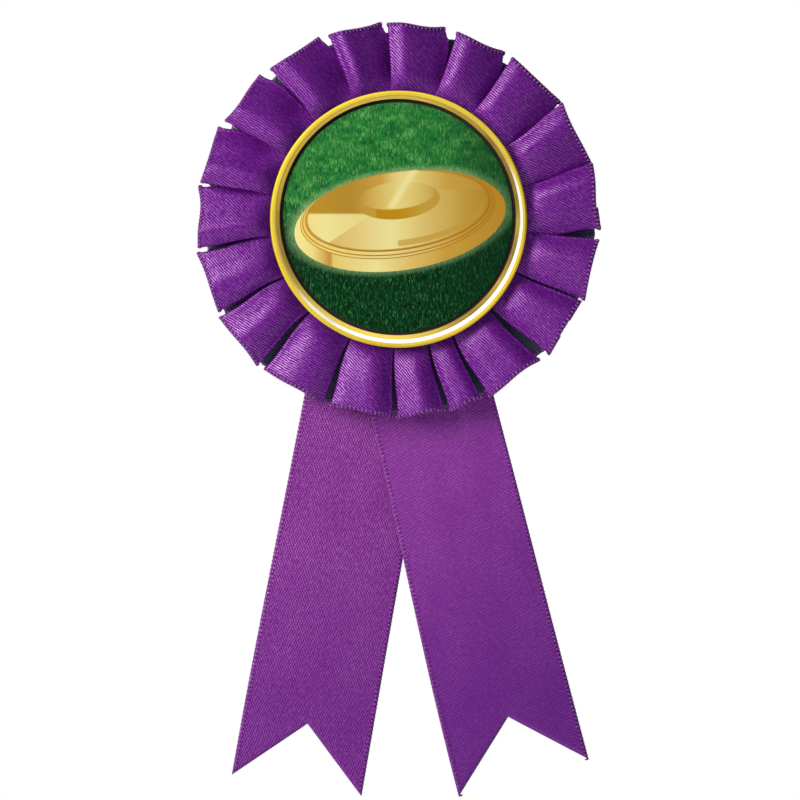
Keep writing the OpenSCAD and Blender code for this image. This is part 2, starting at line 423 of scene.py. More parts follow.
def lathe(name, profile, material, steps=192, closed=True):
    """Turn a profile of (radius, depth, off) round the rosette. off is 1 if it is centred on the insert."""
    mesh = bpy.data.meshes.new(name)
    points = []
    faces = []
    for k in range(steps):
        angle = 2 * math.pi * k / steps
        for r, depth, off in profile:
            x = r * math.sin(angle) + off * INSERT_SHIFT[0]
            points.append(place(x, r * math.cos(angle) + off * INSERT_SHIFT[1], depth))
    rows = len(profile)
    for k in range(steps):
        following = (k + 1) % steps
        for j in range(rows if closed else rows - 1):
            after = (j + 1) % rows
            faces.append((k * rows + j, k * rows + after, following * rows + after, following * rows + j))
    mesh.from_pydata(points, [], faces)
    made = bmesh.new()
    made.from_mesh(mesh)
    bmesh.ops.remove_doubles(made, verts=made.verts, dist=1e-7)
    bmesh.ops.dissolve_degenerate(made, edges=made.edges, dist=1e-8)
    bmesh.ops.recalc_face_normals(made, faces=made.faces)
    made.to_mesh(mesh)
    made.free()
    piece = add_object(name, mesh, "rosette", material)
    mesh.set_sharp_from_angle(angle=math.radians(30))
    return piece


def smooth(value, low, high):
    """0 below low, 1 above high and a smooth step between them."""
    value = min(1.0, max(0.0, (value - low) / (high - low)))
    return value * value * (3 - 2 * value)


def lerp(a, b, t):
    return a + (b - a) * t


# ---- selvage
LOOP_PITCH = 0.95 * MM
LOOP_L = 1.0 * MM
LOOP_R = 0.25 * MM
# a loop's height over its width, how many radii its middle stands up, and how far its ends are rounded
LOOP_FLAT = 0.7
LOOP_ARCH = 0.35
LOOP_ENDS = 0.92
LOOP_RINGS = 5
LOOP_SIDES = 6


def loop_points(centre, across, along, up):
    """One picot loop: a short rounded bar that lies across the ribbon's edge."""
    rings = []
    for k in range(LOOP_RINGS):
        t = -1 + 2 * k / (LOOP_RINGS - 1)
        fat = math.sqrt(1 - (t * LOOP_ENDS) ** 2)
        middle_point = centre + across * (t * LOOP_L / 2) + up * (LOOP_R * LOOP_ARCH * (1 - t * t))
        ring = []
        for side in range(LOOP_SIDES):
            angle = 2 * math.pi * side / LOOP_SIDES
            away = along * math.cos(angle) + up * math.sin(angle) * LOOP_FLAT
            ring.append(middle_point + away * LOOP_R * fat)
        rings.append(ring)
    return rings


def loops_mesh(name, stations):
    """A picot loop at each station, which is (centre, across, along, up)."""
    mesh = bpy.data.meshes.new(name)
    points = []
    faces = []
    for station in stations:
        base = len(points)
        for ring in loop_points(*station):
            points += ring
        last = base + (LOOP_RINGS - 1) * LOOP_SIDES
        for start in range(base, last, LOOP_SIDES):
            above = start + LOOP_SIDES
            for side in range(LOOP_SIDES):
                after = (side + 1) % LOOP_SIDES
                faces.append((start + side, start + after, above + after, above + side))
        faces.append(tuple(base + side for side in reversed(range(LOOP_SIDES))))
        faces.append(tuple(last + side for side in range(LOOP_SIDES)))
    mesh.from_pydata(points, [], faces)
    mesh.update()
    return mesh


def edge_stations(columns, outer, inner, facing):
    """Evenly spaced places for loops along a ribbon's edge. outer and inner are row numbers near that edge.

    With facing, every loop's upper side is turned to the front.
    """
    inset = 0.42 * LOOP_L
    lift = 0.6 * SATIN_T
    stations = []
    travelled = LOOP_PITCH / 2
    for k in range(len(columns) - 1):
        start, end = columns[k][outer], columns[k + 1][outer]
        step = (end - start).length
        while travelled < step:
            t = travelled / step
            rim = start.lerp(end, t)
            inward = columns[k][inner].lerp(columns[k + 1][inner], t) - rim
            along = (end - start).normalized()
            across = (inward - along * inward.dot(along)).normalized()
            up = across.cross(along)
            if facing and up.y > 0:
                up = -up
            stations.append((rim + across * inset + up * lift, across, along, up))
            travelled += LOOP_PITCH
        travelled -= step
    return stations


# ---- pleats
# Each pleat clockwise from the top, as the widths of its front panel and of the gap after it at the open
# edge, in degrees. Their sum is brought to a full turn.
PLEATING = [(16.3, 4.4), (14.4, 3.4), (18.4, 1.2), (18.7, 0.6), (18.6, 3.4), (17.5, 1.0), (17.5, 3.4),
            (17.9, 2.6), (9.4, 1.9), (13.6, 1.8), (18.3, 2.4), (19.3, 2.6), (17.1, 1.8), (17.5, 1.6),
            (17.5, 1.2), (16.8, 2.4), (16.6, 3.5), (16.6, 3.2), (15.1, 2.5)]
FIRST_PLEAT = 5.1
# mm from the centre: the sewn edge, where the panels start to open, where they rise, and the open edge
SEWN_R = 17.0
HELD_R = 22.0
RISE_R = 27.5
OPEN_R = 43.7
# a fold's radius near the ring and further out, and a flap's length at the sewn and at the open edge
FOLD_R = (0.22, 0.5)
FLAP_L = (2.3, 4.0)
# how far the floors of the gaps lie in front of the pleats' back
FLOOR_DEPTH = 0.22
ACROSS_STEPS = 24
PANEL_STEPS = 24
WEAVE_LEAN = -36.0


def pleat_layout():
    """Angles of each pleat's left and right edges at the open edge, clockwise from the top, in degrees."""
    total = sum(panel + gap for panel, gap in PLEATING)
    angle = FIRST_PLEAT - PLEATING[0][0] / 2
    edges = []
    for panel, gap in PLEATING:
        edges.append((angle, angle + panel))
        angle += (panel + gap) * 360 / total
    return edges


def front_level(r):
    """Depth of the pleats' front face over their back, at r mm from the centre."""
    marks = [(15.0, 1.55), (24.0, 1.6), (27.4, 2.7), (28.6, 3.5), (31.5, 4.5), (36.0, 4.7), (41.0, 4.4),
             (46.0, 3.6)]
    for (r0, d0), (r1, d1) in zip(marks, marks[1:]):
        if r <= r1:
            return lerp(d0, d1, smooth(r, r0, r1))
    return marks[-1][1]


def polar(degrees, r):
    angle = math.radians(degrees)
    return Vector((math.sin(angle), math.cos(angle))) * r


def pleat_styles():
    """What makes each pleat differ. top and upper_left are 1 for the pleats that lie there.

    lift raises a panel's left edge and dip lowers its right one. crown is its arch's height, crest the place
    of the arch's top and rise its steepness. Near the ring the slacks move its edges off the middles of the
    gaps, and its right edge opens from late on. tab draws the flaps in, bulge and curl bend the open edge.
    """
    chance = random.Random(11)
    edges = pleat_layout()
    count = len(edges)
    styles = []
    for i, (left, right) in enumerate(edges):
        before = edges[i - 1][1] - (360 if i == 0 else 0)
        after = edges[(i + 1) % count][0] + (360 if i == count - 1 else 0)
        mid = (left + right) / 2
        top = smooth(math.cos(math.radians(mid - 350)), -0.45, 0.35)
        upper_left = smooth(math.cos(math.radians(mid - 320)), 0.6, 0.95)
        styles.append({
            "mid": mid, "left": left, "right": right, "top": top,
            "gap_left": (before + left) / 2, "gap_right": (right + after) / 2,
            "lift": lerp(-0.2, 0.7, top) + 0.3 * upper_left + chance.uniform(-0.1, 0.15),
            "dip": lerp(0.5, 1.7, top) + 1.2 * upper_left + chance.uniform(-0.1, 0.15),
            "crown": lerp(2.5, 1.8, top) + 0.3 * upper_left + chance.uniform(-0.2, 0.3),
            "crest": lerp(-0.22, -0.42, top) + chance.uniform(-0.10, 0.12),
            "slack_left": lerp(0.3, 0.0, top) + chance.uniform(0.0, 0.25),
            "slack_right": lerp(0.25, -1.5, top) + chance.uniform(0.0, 0.3),
            "rise": lerp(2.0, 1.5, top),
            "flare": 0.12 * smooth(math.cos(math.radians(mid - 112)), 0.2, 0.9),
            "late": lerp(27.0, 38.5, top),
            "swing": chance.uniform(0.5, 1.5),
            "reach_left": chance.uniform(-0.15, 0.15),
            "reach_right": chance.uniform(0.2, 0.55),
            "bulge": chance.uniform(-0.45, -0.15),
            "curl": 0.22 * math.sin(7 * mid),
            "wave": chance.uniform(0.08, 0.3),
            "tab": chance.uniform(-0.1, 1.3),
            "bias": WEAVE_LEAN + chance.uniform(-13, 13),
            "seed": chance.uniform(0, 50),
        })
    return styles


def pleat_path():
    """The stations of one pleat, from the middle of the gap on its left to the gap on its right."""
    path = [("base", -1 + t / 3) for t in range(3)]
    for part, steps in (("left_inner", 5), ("left_flap", 4), ("left_fold", 8)):
        path += [(part, t / steps) for t in range(steps)]
    path += [("front", -1 + 2 * t / PANEL_STEPS) for t in range(PANEL_STEPS)]
    for part, steps in (("right_fold", 8), ("right_flap", 4), ("right_inner", 5), ("base", 3)):
        path += [(part, t / steps) for t in range(steps)]
    return path


def open_radius(degrees):
    """The rosette reaches further at its sides than at its top, and furthest at its lower left."""
    sides = (1 - math.cos(math.radians(2 * (degrees - 5)))) / 2
    low_left = math.exp(-((degrees - 230) / 24) ** 2)
    return OPEN_R + 1.1 * sides + 0.8 * low_left


def pleat_point(style, part, k, t):
    """A point of the strip, as a place in front view and a depth over the pleats' back, in mm.

    t runs from the sewn edge at 0 to the open edge at 1, and k along the part that it lies in.
    """
    free = smooth(t, 0.35, 1.0)
    r = lerp(SEWN_R, open_radius(style["mid"]), t)
    r_left = r + style["reach_left"] * free
    r_right = r + style["reach_right"] * free
    # the edges start close together under the button and open to their own angles
    spread = smooth(r, HELD_R, 42)
    swing = style["swing"] * math.sin(math.pi * spread)
    left = lerp(style["gap_left"] + style["slack_left"], style["left"], spread) + swing
    opened = smooth(r, style["late"], 44.5)
    right = lerp(style["gap_right"] - style["slack_right"], style["right"], opened) + swing
    corner_left, corner_right = polar(left, r_left), polar(right, r_right)
    chord = (corner_right - corner_left).normalized()
    outward = Vector((-chord.y, chord.x))
    half = (corner_right - corner_left).length / 2
    centre = (corner_left + corner_right) / 2

    front = front_level(r) + style["flare"] * max(0.0, r - 31)
    tilt = smooth(r, RISE_R, 34)
    left_top = front + style["lift"] * tilt
    right_top = front - style["dip"] * tilt
    fold_r = lerp(*FOLD_R, smooth(r, 24, 38))
    roll_r = fold_r * lerp(1.0, 1.5, style["top"])
    half_left, half_right = half - fold_r * 0.75, half - roll_r * 0.75
    left_low, right_low = left_top - 2 * fold_r, max(right_top - 2 * roll_r, 0.8)
    sign = -1 if part.startswith("left") or (part == "base" and k < 0) else 1
    low = left_low if sign < 0 else right_low
    edge = half_left if sign < 0 else half_right
    flap = min(lerp(*FLAP_L, t), edge - 0.6)
    inner_low = max(FLOOR_DEPTH + 0.3, lerp(FLOOR_DEPTH + 0.4, low - 0.4, 0.6))
    tuck = style["tab"] * free
    out = 0.0
    if part == "front":
        x = lerp(-half_left, half_right, (k + 1) / 2)
        crest = style["crest"]
        if k < crest:
            crown = 1 - ((crest - k) / (1 + crest)) ** style["rise"]
        else:
            crown = 1 - ((k - crest) / (1 - crest)) ** 2.1
        amount = style["crown"] * smooth(r, RISE_R, 33) * min(1.0, half / 5.5)
        depth = lerp(left_top, right_top, smooth(k, -1, 1)) + crown * amount
        ripple = math.sin(4.2 * k + style["seed"] + 0.04 * r)
        depth += style["wave"] * ripple * smooth(r, 26, 38) * (1 - k * k)
        depth += 0.16 * noise.noise(Vector((x * 0.25, r * 0.10, style["seed"])))
        out = (style["bulge"] * (1 - k * k) + style["curl"] * math.sin(math.pi * k)) * free
    elif part in ("left_fold", "right_fold"):
        angle = math.pi * k if sign > 0 else math.pi * (1 - k)
        top, bottom = (left_top, left_low) if sign < 0 else (right_top, right_low)
        x = sign * (edge + (fold_r if sign < 0 else roll_r) * 0.75 * math.sin(angle))
        depth = lerp(top, bottom, 0.5 - 0.5 * math.cos(angle))
    elif part in ("left_flap", "right_flap"):
        run = k if sign > 0 else 1 - k
        x = sign * (edge - flap * run)
        depth = lerp(low, inner_low + 0.3, run)
        out = -tuck * run
    elif part in ("left_inner", "right_inner"):
        run = k if sign > 0 else 1 - k
        x = sign * (edge - flap - 0.35 * math.sin(math.pi * run))
        depth = lerp(inner_low + 0.3, FLOOR_DEPTH, 0.5 - 0.5 * math.cos(math.pi * run))
        out = -tuck
    else:
        run = abs(k)
        inner = centre + chord * (sign * (edge - flap)) - outward * tuck
        gap = style["gap_left"] if sign < 0 else style["gap_right"]
        spot = inner.lerp(polar(gap, r - lerp(0.9, 2.0, style["top"]) * free), run)
        return spot, FLOOR_DEPTH
    return centre + chord * x + outward * out, depth


def twill_place(spot, style):
    """How far a point of a pleat lies along its twill and across it."""
    bias = math.radians(style["bias"])
    return ((spot.x * math.cos(bias) + spot.y * math.sin(bias)) * MM,
            (style["seed"] - spot.x * math.sin(bias) + spot.y * math.cos(bias)) * MM)


def pleat_grid():
    """The whole pleated strip: columns of points, their weave coordinates, and the lengths along the strip.

    Each column's weave is given twice, in its own pleat's direction and in that of the column before it.
    """
    columns = []
    weave = []
    styles = pleat_styles()
    before = styles[-1]
    for style in styles:
        for part, k in pleat_path():
            column = []
            own = []
            carried = []
            for j in range(ACROSS_STEPS + 1):
                spot, depth = pleat_point(style, part, k, j / ACROSS_STEPS)
                column.append(place(spot.x, spot.y, PLEAT_REAR + depth))
                own.append(twill_place(spot, style))
                carried.append(twill_place(spot, before))
            columns.append(column)
            weave.append((own, carried))
            before = style
    # the strip's length is taken along the row at four fifths of its width
    row = int(ACROSS_STEPS * 0.8)
    lengths = [0.0]
    for k, column in enumerate(columns):
        lengths.append(lengths[-1] + (columns[(k + 1) % len(columns)][row] - column[row]).length)
    return columns, weave, lengths


def pleats_mesh(name, columns, weave, lengths):
    """The pleated strip as a closed ring of faces."""
    widths = [RIBBON_W * MM * j / ACROSS_STEPS for j in range(ACROSS_STEPS + 1)]
    rows = len(widths)
    count = len(columns)
    faces = []
    uvs = []
    threads = []
    for k in range(count):
        following = (k + 1) % count
        # the twill of a face follows its own pleat, so it changes only inside the gaps
        here, there = weave[k][0], weave[following][1]
        start, end = lengths[k], lengths[k + 1]
        for j in range(ACROSS_STEPS):
            faces.append((k * rows + j, following * rows + j, following * rows + j + 1, k * rows + j + 1))
            uvs += [(start, widths[j]), (end, widths[j]), (end, widths[j + 1]), (start, widths[j + 1])]
            threads += [here[j], there[j], there[j + 1], here[j + 1]]
    return ribbon_mesh(name, columns, faces, uvs, threads)


def make_pleats(material, thread):
    columns, weave, lengths = pleat_grid()
    mesh = pleats_mesh("pleated_ribbon", columns, weave, lengths)
    ribbon = add_object("pleated_ribbon", mesh, None, material)
    thicken(ribbon)
    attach(ribbon, "rosette")
    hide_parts("pleat_ring")
    stations = edge_stations(columns + columns[:1], ACROSS_STEPS, ACROSS_STEPS - 2, False)
    loops = add_object("pleat_selvage", loops_mesh("pleat_selvage", stations), "rosette", thread)


# ---- tails
TAIL_TOP = 12.0
TAIL_L = 128.0
NOTCH = 14.0
TAIL_DOWN_STEPS = 96
TAIL_ACROSS_STEPS = 28


def tail_grid(lean, shift, depth, shape, twill):
    """Columns run across the tail, one after the other down it. The last one follows the notch.

    s is how many mm down from the rosette's centre a point lies. v runs from -1 at the left edge to 1.
    """
    angle = math.radians(lean)
    bias = math.radians(twill)
    columns = []
    travel = []
    weave = []
    for k in range(TAIL_DOWN_STEPS + 1):
        t = k / TAIL_DOWN_STEPS
        column, travelled, threads = [], [], []
        for j in range(TAIL_ACROSS_STEPS + 1):
            v = -1 + 2 * j / TAIL_ACROSS_STEPS
            s = lerp(-TAIL_TOP, TAIL_L - NOTCH * (1 - abs(v)), t)
            spread, sideways, forward = shape(s, v)
            x = v * RIBBON_W / 2 * spread + sideways
            spot_x = shift + x * math.cos(angle) + s * math.sin(angle)
            spot_up = x * math.sin(angle) - s * math.cos(angle)
            column.append(place(spot_x, spot_up, depth + forward))
            travelled.append(s * MM)
            threads.append(((s * math.cos(bias) + x * math.sin(bias)) * MM,
                            (x * math.cos(bias) - s * math.sin(bias)) * MM))
        columns.append(column)
        travel.append(travelled)
        weave.append(threads)
    return columns, travel, weave


def tail_mesh(name, columns, travel, weave):
    rows = TAIL_ACROSS_STEPS + 1
    faces = []
    uvs = []
    threads = []
    for k in range(TAIL_DOWN_STEPS):
        for j in range(TAIL_ACROSS_STEPS):
            quad = [(k, j), (k + 1, j), (k + 1, j + 1), (k, j + 1)]
            faces.append(tuple(a * rows + b for a, b in quad))
            uvs += [(travel[a][b], RIBBON_W * MM * b / TAIL_ACROSS_STEPS) for a, b in quad]
            threads += [weave[a][b] for a, b in quad]
    return ribbon_mesh(name, columns, faces, uvs, threads)


def make_tail(name, lean, shift, shape, twill, material, thread):
    """A tail of the CAD node of that name, as one ribbon that bends softly."""
    low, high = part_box(name)
    depth = -(low[1] + high[1]) / 2 / MM
    columns, travel, weave = tail_grid(lean, shift, depth, shape, twill)
    tail = add_object(name + "_ribbon", tail_mesh(name + "_ribbon", columns, travel, weave), None, material)
    thicken(tail)
    last = TAIL_ACROSS_STEPS
    stations = edge_stations(columns, 0, 2, True) + edge_stations(columns, last, last - 2, True)
    loops = add_object(name + "_selvage", loops_mesh(name + "_selvage", stations), None, thread)
    for piece in (tail, loops):
        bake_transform(piece)
    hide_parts(name, name + "_top")


def front_tail_shape(s, v):
    """How the front tail's width, sideways place and forward place differ from a flat strip's, in mm."""
    free = smooth(s, 46, 75)
    spread = lerp(0.985, 1.075, smooth(s, 30, 128))
    twist = math.radians(20.0) * smooth(s, 45, 132)
    billow = 0.55 * math.sin(s / 26 + 0.5) + 0.35 * (1 - v * v) + 0.5
    return spread, 0.35 * math.sin(s / 24), free * billow - v * RIBBON_W / 2 * math.tan(twist)


def rear_tail_shape(s, v):
    """The same for the rear tail, which twists less."""
    free = smooth(s, 48, 80)
    spread = lerp(1.0, 1.045, smooth(s, 30, 128))
    twist = math.radians(7.5) * smooth(s, 60, 130)
    billow = 0.5 * math.sin(s / 30) + 0.3 * v * v + 0.45
    return spread, 0.3 * math.sin(s / 30 + 1), -free * billow - v * RIBBON_W / 2 * math.tan(twist)


# ---- printed insert
def printed_picture():
    """Mown grass with a gold flying disc, printed on the insert, in mm from the rosette's centre."""
    n = Nodes("print")
    x, _, z = n.axes("Object")
    x = n.times(x, 1 / MM)
    z = n.minus(n.times(z, 1 / MM), CENTRE_UP)

    def off_line(px, pz, degrees):
        """Distance to the left of a line through a point, looking along its angle."""
        turn = math.radians(degrees)
        return n.minus(n.times(n.minus(z, pz), math.cos(turn)), n.times(n.minus(x, px), math.sin(turn)))

    def ellipse(cx, cz, a, b, degrees):
        """Distance from the ellipse's centre, 1 on the ellipse itself."""
        u = n.times(off_line(cx, cz, degrees - 90), 1 / a)
        v = n.times(off_line(cx, cz, degrees), 1 / b)
        return n.math("SQRT", n.plus(n.times(u, u), n.times(v, v)))

    def inside(shape, edge=0.004):
        return n.span(shape, 1 - edge, 1 + edge, 1.0, 0.0)

    def left_of(px, pz, degrees, soft=0.06):
        return n.span(off_line(px, pz, degrees), -soft, soft)

    def right_of(px, pz, degrees, soft):
        return n.minus(1.0, left_of(px, pz, degrees, soft))

    # grass: blades stand up in the near half and blur into mown bands in the far half
    leaning = n.plus(x, n.swing(n.noise((x, z), (0.40, 0.40)), 1.3))
    coarse = n.noise((leaning, z), (2.5, 0.50), 2.0, 0.6)
    fine = n.noise((leaning, z), (5.2, 1.15), 1.0)
    bands = n.noise((x, z), (0.22, 0.42), 3.0, 0.55)
    tufts = n.noise((x, z), (0.30, 0.30), 3.0, 0.6)
    blades = n.plus(n.times(coarse, 0.52), n.times(fine, 0.48))
    turf = n.plus(n.times(bands, 0.30), n.times(blades, 0.70))
    height = n.span(z, -25, 25, 0.0, 1.0, smooth=False)
    near = n.ramp(blades, (0.40, 0, 22, 2), (0.48, 0, 46, 16), (0.56, 0, 78, 30), (0.64, 60, 134, 66))
    far = n.ramp(turf, (0.39, 6, 90, 40), (0.46, 31, 124, 53), (0.54, 60, 150, 66), (0.61, 120, 182, 98))
    bank = n.plus(height, n.swing(tufts, 0.7))
    colour = n.mix(n.span(bank, 0.36, 0.66), near, far)
    lit = n.times(n.span(tufts, 0.36, 0.60, 0.6, 1.0), n.span(x, 6, 22, 1.0, 0.12))
    colour = n.mix(lit, n.mix(0.7, colour, srgb(0, 48, 24)), colour)

    # the disc's outline, with a soft glow round it
    outline = ellipse(0.35, -0.35, 23.6, 10.9, 8.4)
    in_outline = inside(outline)
    glow = n.times(n.span(outline, 0.99, 1.13, 0.85, 0.0), n.span(blades, 0.3, 0.65, 0.5, 1.0),
                   n.span(z, -8, 3, 0.7, 1.0), n.span(x, 13, 22, 1.0, 0.5))
    colour = n.mix(glow, colour, srgb(136, 184, 122))
    across = n.span(x, -24, 24, 0.0, 1.0, smooth=False)
    rim = n.ramp(across, (0.02, 252, 240, 158), (0.10, 250, 230, 140), (0.185, 206, 152, 52),
                 (0.20, 238, 214, 118), (0.40, 252, 240, 160), (0.56, 236, 204, 110), (0.72, 214, 168, 66),
                 (1.0, 202, 152, 44))
    rim = n.mix(n.span(z, 1.5, 8.0), rim, srgb(206, 148, 30))
    colour = n.mix(in_outline, colour, rim)

    # three grooves round the edge of the top, with lands between them
    land = n.ramp(across, (0.05, 246, 216, 110), (0.45, 250, 232, 146), (0.8, 212, 160, 50),
                  (1.0, 196, 146, 40))
    line = n.ramp(across, (0.05, 196, 144, 26), (0.45, 176, 128, 30), (1.0, 186, 132, 16))
    for shape, paint in (((-0.15, 1.25, 21.8, 9.7, 8.0), line), ((-0.15, 1.32, 21.66, 9.58, 8.0), land),
                         ((-0.15, 1.55, 21.35, 9.35, 7.9), line), ((-0.15, 1.62, 21.12, 9.16, 7.9), land),
                         ((-0.12, 1.90, 20.75, 8.78, 7.7), line)):
        colour = n.mix(n.times(inside(ellipse(*shape)), in_outline), colour, paint)

    # the top, its light wedge, its shaded back and its step
    top = ellipse(-0.1, 2.0, 20.5, 8.55, 7.6)
    in_top = inside(top)
    face = n.ramp(across, (0.08, 214, 176, 82), (0.30, 240, 216, 128), (0.46, 250, 240, 164),
                  (0.52, 246, 230, 144), (0.62, 232, 204, 116), (0.80, 206, 166, 66), (0.93, 196, 146, 42))
    colour = n.mix(in_top, colour, face)
    wedge = n.times(in_top, right_of(-7.9, 1.15, -0.6, 0.25), left_of(-15.4, -5.2, 33.8))
    bright = n.ramp(across, (0.05, 248, 226, 130), (0.16, 250, 240, 158), (0.35, 246, 230, 140))
    colour = n.mix(wedge, colour, bright)
    back = n.times(in_top, left_of(-7.9, 1.2, -0.6, 0.35), n.span(x, -4.0, 2.2, 1.0, 0.0))
    shaded = n.ramp(across, (0.08, 196, 150, 42), (0.28, 190, 147, 47), (0.42, 216, 172, 72),
                    (0.52, 236, 208, 110))
    colour = n.mix(back, colour, shaded)
    far_side = n.times(in_top, left_of(6.4, 6.5, 0.4, 0.05), n.span(x, 0.5, 3.2))
    faded = n.ramp(across, (0.55, 246, 226, 136), (0.72, 214, 172, 72), (0.95, 202, 154, 54))
    colour = n.mix(far_side, colour, faded)
    step = n.times(inside(ellipse(-0.1, 2.0, 19.7, 7.95, 7.6)),
                   n.minus(1.0, inside(ellipse(-0.1, 2.1, 18.4, 6.75, 7.6))),
                   n.span(x, -0.2, 0.1), right_of(0, 1.2, 6.0, 2.0))
    colour = n.mix(n.times(step, 0.75), colour, srgb(206, 166, 62))
    colour = n.mix(n.times(in_top, n.span(top, 0.975, 0.992, 0.0, 0.8)), colour, line)

    # the hub, its dark crescent and the streak of light across it
    crescent = n.ramp(across, (0.32, 204, 158, 56), (0.395, 208, 164, 60), (0.40, 196, 146, 10),
                      (0.52, 200, 152, 18), (0.62, 208, 168, 62), (0.70, 204, 164, 66))
    colour = n.mix(inside(ellipse(0.15, 4.05, 9.1, 4.0, 6.5), 0.02), colour, crescent)
    hub = n.ramp(across, (0.32, 200, 158, 60), (0.40, 226, 192, 98), (0.50, 244, 226, 134),
                 (0.58, 234, 208, 116), (0.67, 210, 172, 76))
    colour = n.mix(inside(ellipse(-0.35, 5.25, 8.3, 3.0, 6.0), 0.015), colour, hub)
    streak_at = n.math("ABSOLUTE", off_line(0.6, 6.3, 58.5))
    streak = n.times(in_top, n.span(z, 2.1, 2.8), n.span(streak_at, 0.0, 1.5, 0.85, 0.0))
    colour = n.mix(streak, colour, srgb(252, 243, 168))
    n.set(Base_Color=colour, Roughness=n.span(tufts, 0.3, 0.7, 0.36, 0.42), Specular_IOR_Level=0.12)
    return n.material


def clear_film():
    n = Nodes("clear_film")
    x, _, z = n.axes("Object")
    smear = n.noise((x, z), (300.0, 300.0))
    n.set(Base_Color=(0.02, 0.02, 0.02, 1), Alpha=0.05, IOR=1.45,
          Roughness=n.span(smear, 0.3, 0.7, 0.06, 0.14))
    return n.material


def disc_profile(r, rear, front, edge):
    """A disc's profile from the middle of its back to the middle of its front, with a rounded rim."""
    profile = [(0, rear, 1), (r * 0.5, rear, 1), (r - edge, rear, 1)]
    profile += corner(r, rear + edge, edge, (-60, -30, 0), 1)
    profile += corner(r, front - edge, edge, (0, 30, 60, 90), 1)
    return profile + [(r * 0.5, front, 1), (0, front, 1)]


def insert_disc(name, rear, front, edge, material, node):
    disc = lathe(name, disc_profile(INSERT_R, rear, front, edge), material, closed=False)
    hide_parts(node)


def make_insert():
    """The printed disc and the film over it, which lies a hair off the print."""
    film_rear = COVER_REAR + 0.01
    insert_disc("printed_insert", PRINT_REAR, PRINT_FRONT, 0.05, printed_picture(), "insert_print")
    insert_disc("clear_film", film_rear, COVER_FRONT, 0.08, clear_film(), "clear_cover")


# ---- bezel
def toward(n, clock):
    """How far a point of the ring lies toward a clock direction, in degrees from above, from -1 to 1."""
    x, _, z = n.axes("Object")
    turn = math.radians(clock)
    up = n.minus(z, CENTRE_UP * MM)
    reach = BEZEL_R * MM
    return n.plus(n.times(x, math.sin(turn) / reach), n.times(up, math.cos(turn) / reach))


def gilt(name, tint, worn, rough, shade_right=None):
    """Gilding, with patches where it is worn. The colour given for the right side is painted shade, which the
    gilding darkens to toward the ring's right side.
    """
    n = Nodes(name)
    brushed = n.grain(3800)
    wear = n.grain(90, 3.0)
    if shade_right is not None:
        # painted shade: the colour darkens toward the ring's right side
        tint = n.mix(n.span(toward(n, 95), -0.1, 0.7), tint, shade_right)
    n.set(Base_Color=n.mix(n.span(wear, 0.4, 0.75, 0.0, 0.5), tint, worn), Metallic=1.0, Coat_Weight=0.12,
          Coat_Roughness=0.15, Roughness=n.span(brushed, 0.3, 0.7, rough * 0.9, rough * 1.1))
    return n.material


def gilt_with_painted_highlight():
    """The slope's gilding, with a painted highlight: near white on its lower right, where it is also
    polished, and satin elsewhere.
    """
    n = Nodes("gilt_polished_painted_highlight")
    brushed = n.grain(3800)
    # painted highlight: the base colour turns near white toward the lower right
    painted_highlight = n.span(toward(n, 150), 0.0, 0.28)
    polished = n.span(toward(n, 150), 0.28, 0.55)
    n.set(Base_Color=n.mix(painted_highlight, srgb(214, 184, 84), srgb(255, 250, 236)),
          Metallic=n.span(polished, 0.0, 1.0, 0.2, 1.0),
          Roughness=n.plus(n.span(polished, 0.0, 1.0, 0.62, 0.20), n.times(brushed, 0.03)))
    return n.material


def make_bezel(own_lights):
    """An outer wall, a low domed crest, a polished slope with a painted highlight and a satin ledge with
    painted shade round the insert.
    """
    throat = INSERT_R + 0.7
    rear, top = BEZEL_REAR, BEZEL_FRONT
    roll = 0.28
    slope_r, slope_low, ledge_low = BEZEL_R - 1.0, top - 0.3, top - 0.7
    # each point's distance in from the wall or out from the throat, and its distance from the rear or the top
    wall = ((1.35, 0), (0.3, 0), (0.08, 0.1), (0, 0.35))
    crest = ((0.42, 0.07), (0.62, 0.02), (0.85, 0), (1.02, 0.02))
    slope = ((1.12, 0.06, 0.05), (1.50, 0.38, 0.70), (1.56, 0.42, 0.74))
    ledge = ((0.16, 0.58), (0.05, 0.66), (0, 0.78))
    profile = [(BEZEL_R - inset, rear + ahead, 0) for inset, ahead in wall]
    profile += [(BEZEL_R, top - 0.9, 0)]
    profile += corner(BEZEL_R, top - 0.12 - roll, roll, (0, 20, 40, 60, 75), 0)
    profile += [(BEZEL_R - inset, top - drop, 0) for inset, drop in crest]
    profile += [(BEZEL_R - inset, top - drop, off) for inset, drop, off in slope]
    profile += [(throat + out, top - drop, 1) for out, drop in ledge]
    profile += [(throat, rear + 1.75, 1), (BEZEL_R - 1.30, rear + 1.70, 0)]
    bright = gilt("gilt", srgb(226, 196, 60), srgb(206, 168, 44), 0.24)
    bezel = lathe("gilt_bezel", profile, bright, steps=256)
    bezel.data.materials.append(gilt_with_painted_highlight())
    # the ledge's gilding carries painted shade toward the ring's right side
    satin_gilt = gilt("gilt_satin", srgb(238, 208, 90), srgb(206, 176, 74), 0.34, srgb(122, 98, 42))
    bezel.data.materials.append(satin_gilt)
    centre = place(0, 0, 0)
    for face in bezel.data.polygons:
        spot = face.center - centre
        depth = -face.center.y / MM
        if math.hypot(spot.x, spot.z) / MM < slope_r and depth > ledge_low:
            face.material_index = 1 if depth > slope_low else 2
    # the key's reflection would burn out the gilding, so the ring has its own lights
    own_lights.objects.link(bezel)
    others = bpy.data.collections["not_the_ring"]
    others.objects.link(bezel)
    others.collection_objects[0].light_linking.link_state = "EXCLUDE"
    bezel.visible_diffuse = False
    bezel.visible_glossy = False
    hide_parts("bezel")


